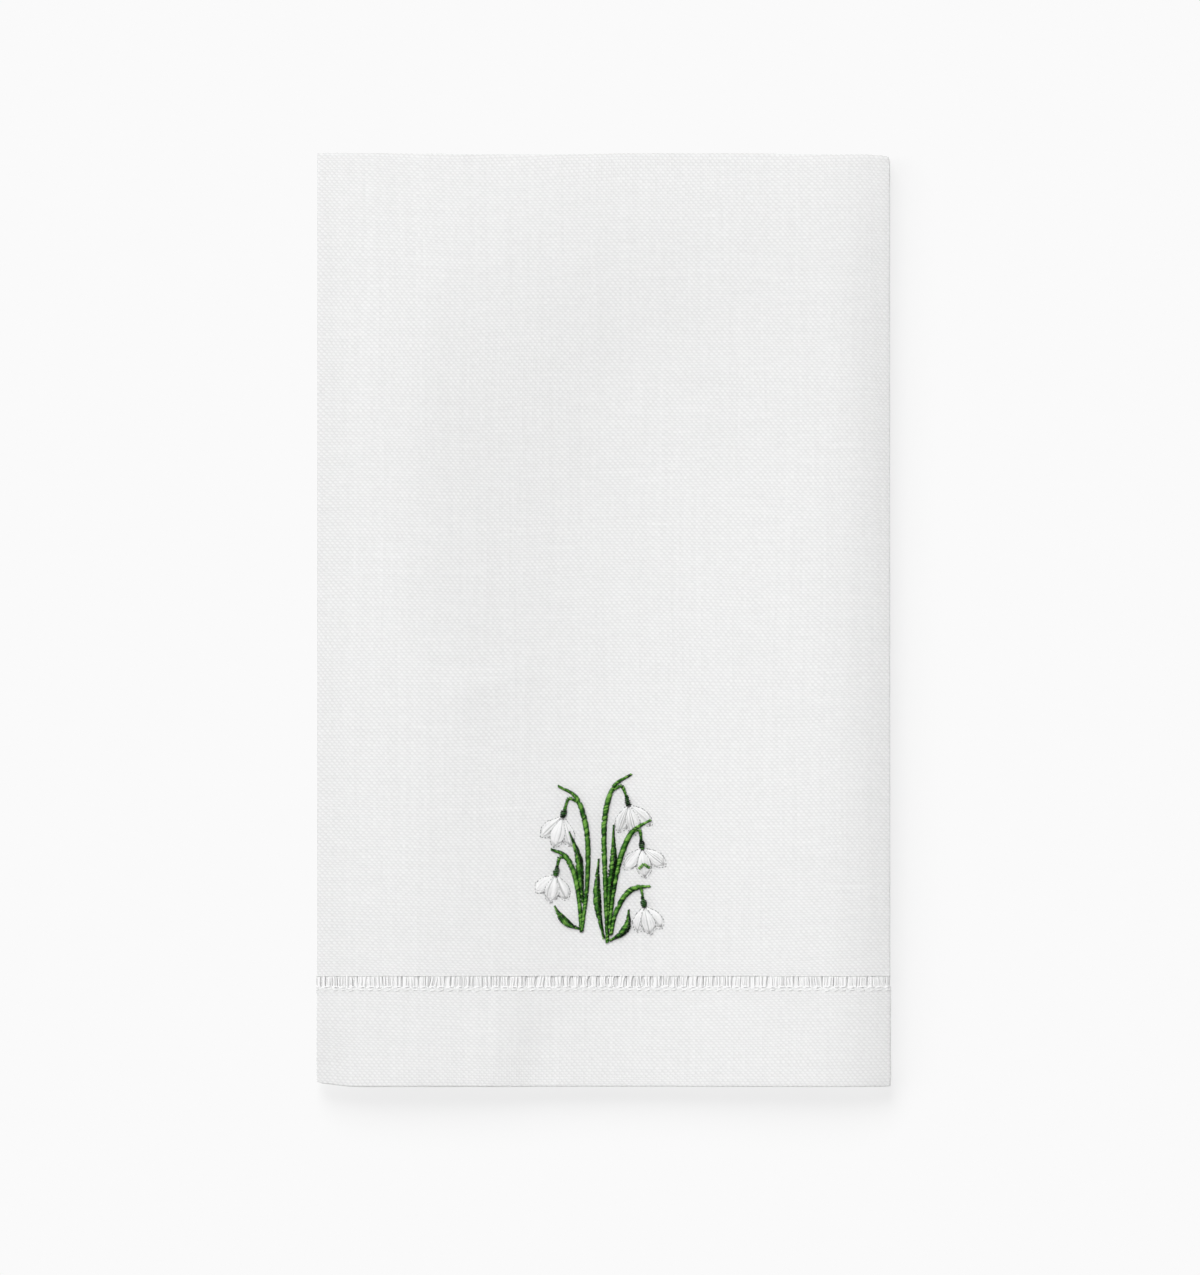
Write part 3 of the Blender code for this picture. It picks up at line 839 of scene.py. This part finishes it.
def spray(materials):
    """The whole embroidered spray, as one piece for each colour of thread."""
    green, white, outlines = [], [], []
    for points, widest, light_share in LEAVES:
        split = 2 * light_share - 1
        width = tapering(widest, *LEAF_TAPER)
        green.append(satin(points, width, LEAF_LIGHTER_SIDE_PAINTED_SHADING, slant=0.55, high=0.60, sides=(-1.0, split)))
        green.append(satin(points, width, LEAF_DARKER_SIDE_PAINTED_SHADE, slant=0.35, sides=(split, 1.0)))
    for row in FLOWERS:
        for whole, part in zip((green, white, outlines), flower(*row)):
            whole.extend(part)
    rows = (
        ("spray_green", green, SATIN_THREAD),
        ("spray_white", white, PETAL_THREAD),
        ("spray_outline", outlines, OUTLINE_THREAD),
    )
    pieces = []
    for (name, parts, size), material in zip(rows, materials):
        paths, lifts, tint = joined(parts)
        pieces.append(threads(name, paths, lifts, size, tint, material, THREAD_TAPER))
    return pieces


# ---- materials


class Graph:
    """Short calls for laying out a material's nodes."""

    def __init__(self, name):
        self.material = bpy.data.materials.new(name)
        self.material.use_nodes = True
        self.tree = self.material.node_tree
        self.shader = self.tree.nodes["Principled BSDF"]

    def node(self, kind, **settings):
        made = self.tree.nodes.new(kind)
        for key, value in settings.items():
            setattr(made, key, value)
        return made

    def feed(self, socket, value):
        if isinstance(value, bpy.types.NodeSocket):
            self.tree.links.new(value, socket)
        else:
            socket.default_value = value

    def math(self, operation, *values, clamp=False):
        made = self.node("ShaderNodeMath", operation=operation, use_clamp=clamp)
        for socket, value in zip(made.inputs, values):
            self.feed(socket, value)
        return made.outputs[0]

    def times(self, value, factor, plus=0.0, clamp=False):
        return self.math("MULTIPLY_ADD", value, factor, plus, clamp=clamp)

    def plus(self, first, second):
        return self.math("ADD", first, second)

    def minus(self, first, second, clamp=False):
        return self.math("SUBTRACT", first, second, clamp=clamp)

    def vector(self, x, y, z=0.0):
        made = self.node("ShaderNodeCombineXYZ")
        for socket, value in zip(made.inputs, (x, y, z)):
            self.feed(socket, value)
        return made.outputs[0]

    def attribute(self, name, output):
        return self.node("ShaderNodeAttribute", attribute_name=name).outputs[output]

    def split(self, vector):
        made = self.node("ShaderNodeSeparateXYZ")
        self.feed(made.inputs[0], vector)
        return made.outputs

    def noise(self, x, y, scales, seed=0.0, detail=1.0):
        """Smooth noise over two values, each with its own scale, from -0.5 to 0.5."""
        x, y = (self.times(value, scale) for value, scale in zip((x, y), scales))
        made = self.node("ShaderNodeTexNoise")
        self.feed(made.inputs["Vector"], self.vector(x, y, seed))
        made.inputs["Scale"].default_value = 1.0
        made.inputs["Detail"].default_value = detail
        return self.minus(made.outputs[0], 0.5)

    def mix(self, share, low, high):
        made = self.node("ShaderNodeMix", data_type="RGBA")
        self.feed(made.inputs[0], share)
        self.feed(made.inputs[6], low)
        self.feed(made.inputs[7], high)
        return made.outputs[2]

    def bump(self, height, distance):
        made = self.node("ShaderNodeBump")
        self.feed(made.inputs["Height"], height)
        made.inputs["Distance"].default_value = distance
        made.inputs["Strength"].default_value = 1.0
        self.feed(self.shader.inputs["Normal"], made.outputs[0])

    def surface(self, values):
        """Sets the shader's plain values by their names."""
        for name, value in values.items():
            self.shader.inputs[name].default_value = value


def thread_set(graph, across_place, along_place, pitch_size, half_widths, own_length, seed):
    """One direction's threads, from where a point lies across and along them.

    Gives the thread's number, how far the point is from its middle, its own noise, its slub, and its
    height there, which falls in a half round from 1 along its middle to 0 at its sides."""
    spacing_scales = (SPACING_NOISE, SPACING_NOISE / SPACING_STRETCH)
    spacing = graph.noise(across_place, along_place, spacing_scales, seed, detail=3.0)
    uneven = graph.times(spacing, UNEVEN_SPACING)
    wander = graph.noise(across_place, along_place, (BOW_NOISE, BOW_NOISE), seed)
    bow = graph.times(wander, BOW, uneven)
    count = graph.math("DIVIDE", graph.plus(across_place, bow), pitch_size)
    row = graph.math("FLOOR", count)
    across = graph.minus(graph.math("FRACT", count), 0.5)
    own = graph.noise(row, along_place, (OWN_SEED[0], 1 / own_length), seed + OWN_SEED[1], detail=3.0)
    swelling = graph.noise(row, along_place, (SLUB_SEED[0], 1 / SLUB_LENGTH), seed + SLUB_SEED[1])
    slub = graph.times(graph.minus(swelling, SLUB_THRESHOLD), SLUB_EDGE, clamp=True)
    plain, by_own, by_slub = half_widths
    half = graph.times(own, by_own, graph.times(slub, by_slub, plain))
    share = graph.math("DIVIDE", across, half)
    height = graph.math("SQRT", graph.minus(1.0, graph.times(share, share), clamp=True))
    return row, across, own, slub, height


def linen_material():
    """Plain weave: unevenly spaced threads with slubs along them, crimped over and under, and pinholes."""
    graph = Graph("linen")
    place_u, place_v, _ = graph.split(graph.attribute("flat", "Vector"))
    warp_row, warp_across, warp_own, warp_slub, warp_round = thread_set(graph, place_u, place_v, *WARP)
    weft_row, weft_across, weft_own, weft_slub, weft_round = thread_set(graph, place_v, place_u, *WEFT)
    # Even squares show the weft on top, and odd squares the warp.
    rows = graph.plus(warp_row, weft_row)
    over = graph.math("COSINE", graph.times(rows, math.pi))
    warp_angle = graph.times(warp_across, math.pi)
    weft_angle = graph.times(weft_across, math.pi)
    aslant = graph.times(graph.math("SINE", warp_angle), graph.math("SINE", weft_angle))
    aslant = graph.times(aslant, YARN_SLANT)
    weft_crimp = graph.times(over, graph.minus(graph.math("COSINE", warp_angle), aslant))
    warp_crimp = graph.times(over, graph.minus(graph.math("COSINE", weft_angle), aslant))
    weft_height = graph.times(weft_crimp, CRIMP, weft_round)
    warp_height = graph.minus(warp_round, graph.times(warp_crimp, CRIMP))
    graph.bump(graph.math("MAXIMUM", warp_height, weft_height), WEAVE_DEPTH)
    weft_shows = graph.times(graph.minus(weft_height, warp_height), 0.5, 0.5, clamp=True)
    painted_gap_shade = graph.minus(1.0, graph.math("MAXIMUM", warp_round, weft_round))
    crossing = graph.node("ShaderNodeTexWhiteNoise", noise_dimensions="2D")
    graph.feed(crossing.inputs["Vector"], graph.vector(warp_row, weft_row))
    # Painted light where the weft lies on top, and painted shade at the pinholes; the threads' own tones
    # follow.
    tone = graph.times(graph.minus(weft_shows, 0.5), WEFT_PAINTED_LIGHT, LINEN_TONE)
    tone = graph.times(painted_gap_shade, -PINHOLE_PAINTED_SHADE, tone)
    tone = graph.times(weft_own, WEFT_OWN_TONE, tone)
    tone = graph.times(warp_own, WARP_OWN_TONE, tone)
    tone = graph.times(graph.minus(crossing.outputs["Value"], 0.5), CROSSING_TONE, tone)
    tone = graph.times(graph.times(warp_slub, WARP_SLUB_SHARE, weft_slub), SLUB_TONE, tone)
    broad = graph.noise(place_u, place_v, (BROAD_NOISE, BROAD_NOISE), detail=3.0)
    tone = graph.times(broad, BROAD_TONE, tone)
    # Painted light and shade along the sheets' cut edges.
    tone = graph.plus(tone, graph.attribute("painted_edge_shading", "Fac"))
    colour = graph.node("ShaderNodeCombineColor")
    for socket in colour.inputs[:3]:
        graph.feed(socket, tone)
    graph.feed(graph.shader.inputs["Base Color"], colour.outputs[0])
    graph.surface(LINEN_SURFACE)
    return graph.material


def thread_material(name, colours, roughness, specular, side_shade=0.0, mottle=0.35):
    """Twisted thread whose colour runs through dark, middle and light by its tint.

    Its sides, which its neighbours shade, are darker than its top by side_shade of the tint, and the
    tint wanders by mottle along it."""
    dark, middle, light = colours
    graph = Graph(name)
    distance, angle, own = graph.split(graph.attribute("strand", "Vector"))
    tint = graph.attribute("tint", "Fac")
    wander = graph.noise(distance, own, (MOTTLE_NOISE, MOTTLE_SEED), detail=2.0)
    tint = graph.times(wander, mottle, tint)
    from_top = graph.minus(1.0, graph.math("SINE", angle))
    tint = graph.minus(tint, graph.times(from_top, side_shade))
    lower = graph.mix(graph.times(tint, 2.0, clamp=True), dark, middle)
    upper = graph.times(tint, 2.0, -1.0, clamp=True)
    graph.feed(graph.shader.inputs["Base Color"], graph.mix(upper, lower, light))
    turns = graph.times(distance, 2 * math.pi / TWIST_LENGTH, graph.times(angle, PLIES))
    graph.bump(graph.math("SINE", turns), TWIST_DEPTH)
    graph.surface({"Roughness": roughness, "Specular IOR Level": specular})
    return graph.material


# ---- stage


def floor():
    """A plain pale floor, which glows so that it comes out nearly white."""
    corners = np.array([[-1, -1, 0], [1, -1, 0], [1, 1, 0], [-1, 1, 0]]) * FLOOR_REACH
    graph = Graph("pale_floor")
    graph.surface({"Base Color": grey(FLOOR_TONE), "Roughness": 1.0, "Specular IOR Level": 0.0})
    graph.surface({"Emission Color": grey(1), "Emission Strength": FLOOR_GLOW})
    plane = new_object("floor", corners, [[0, 1, 2, 3]], graph.material)


def camera():
    """Straight above, framed as the photograph: the towel's box takes the same pixels."""
    metres_per_px = PANEL_WIDTH / TOWEL_WIDTH_PX
    lens = bpy.data.cameras.new("camera")
    lens.sensor_fit = "VERTICAL"
    lens.sensor_height = SENSOR
    lens.sensor_width = SENSOR
    lens.lens = SENSOR * CAMERA_HEIGHT / (IMAGE_HEIGHT_PX * metres_per_px)
    eye = added("camera", lens)
    right_of_towel = (IMAGE_WIDTH_PX / 2 - TOWEL_CENTRE_PX[0]) * metres_per_px
    above_towel = (TOWEL_CENTRE_PX[1] - IMAGE_HEIGHT_PX / 2) * metres_per_px
    eye.location = (right_of_towel, above_towel, CAMERA_HEIGHT)
    bpy.context.scene.camera = eye


def sun(name, strength, spread, azimuth, elevation):
    """A soft light from a compass direction: azimuth 0 is the photograph's top and 90 its right."""
    lamp = bpy.data.lights.new(name, "SUN")
    lamp.energy = strength
    lamp.angle = math.radians(spread)
    tilt = math.radians(90 - elevation)
    added(name, lamp).rotation_euler = (tilt, 0.0, math.radians(180 - azimuth))


def bright_horizon():
    """A pale room all round: bright near the horizon, which lights the upright sides of the folds."""
    world = bpy.data.worlds.new("studio")
    bpy.context.scene.world = world
    world.use_nodes = True
    tree = world.node_tree
    direction = tree.nodes.new("ShaderNodeTexCoord")
    split = tree.nodes.new("ShaderNodeSeparateXYZ")
    tree.links.new(direction.outputs["Generated"], split.inputs[0])
    fade = tree.nodes.new("ShaderNodeMapRange")
    fade.interpolation_type = "SMOOTHSTEP"
    tree.links.new(split.outputs["Z"], fade.inputs["Value"])
    ends = dict(zip(("From Min", "From Max", "To Min", "To Max"), (*HORIZON_FADE, HORIZON, 0.0)))
    for name, value in ends.items():
        fade.inputs[name].default_value = value
    background = tree.nodes["Background"]
    background.inputs["Color"].default_value = grey(1)
    tree.links.new(fade.outputs[0], background.inputs["Strength"])


def studio():
    """The lights, and tones as the photograph's."""
    bright_horizon()
    for row in SUNS:
        sun(*row)
    view = bpy.context.scene.view_settings
    view.view_transform = "Standard"
    view.look = "None"
    view.exposure = 0.0
    view.gamma = 1.0
    # The photograph's white stops a little short of full white.
    view.use_curve_mapping = True
    response = view.curve_mapping
    response.extend = "HORIZONTAL"
    response.use_clip = True
    whole = response.curves[3]
    whole.points[1].location = (1.0, WHITE)
    whole.points.new(WHITE, WHITE)
    for point in whole.points:
        point.handle_type = "VECTOR"
    response.update()


def rides(piece):
    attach(piece, "root")


def main():
    camera()
    studio()
    floor()
    linen = linen_material()
    strand = thread_material("linen_strands", STRAND_GREYS, roughness=0.8, specular=0.2)
    sewing = thread_material("white_sewing_thread", SEWING_GREYS, roughness=0.8, specular=0.2)
    green = thread_material("green_rayon", GREENS, roughness=0.5, specular=0.1, side_shade=0.65)
    white = thread_material(
        "white_rayon", PETAL_GREYS, roughness=0.5, specular=0.3, side_shade=0.35, mottle=0.8
    )
    outline = thread_material("grey_rayon", OUTLINE_GREYS, roughness=0.6, specular=0.2)
    body, front_hem, back_hem = main_sheets(linen)
    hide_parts("towel_cloth")
    ladder_edges = {
        "front": (HEM_DEPTH, LADDER_TOP),
        "back": (CLOTH_LENGTH - HEM_DEPTH, CLOTH_LENGTH - LADDER_TOP),
    }
    sewn = []
    for end, edges in ladder_edges.items():
        bundles, middles = ladder(end + "_ladder", *edges, strand)
        stitches = hem_stitches(end + "_hem_stitches", middles, *edges, sewing)
        rides(bundles)
        rides(stitches)
        sewn += [bundles, stitches]
    motif = spray((green, white, outline))
    for piece, slot in zip(motif, ("green_thread", "white_thread", "grey_thread")):
        rides(piece)
    for sheet in (body, front_hem, back_hem):
        rides(sheet)


main()
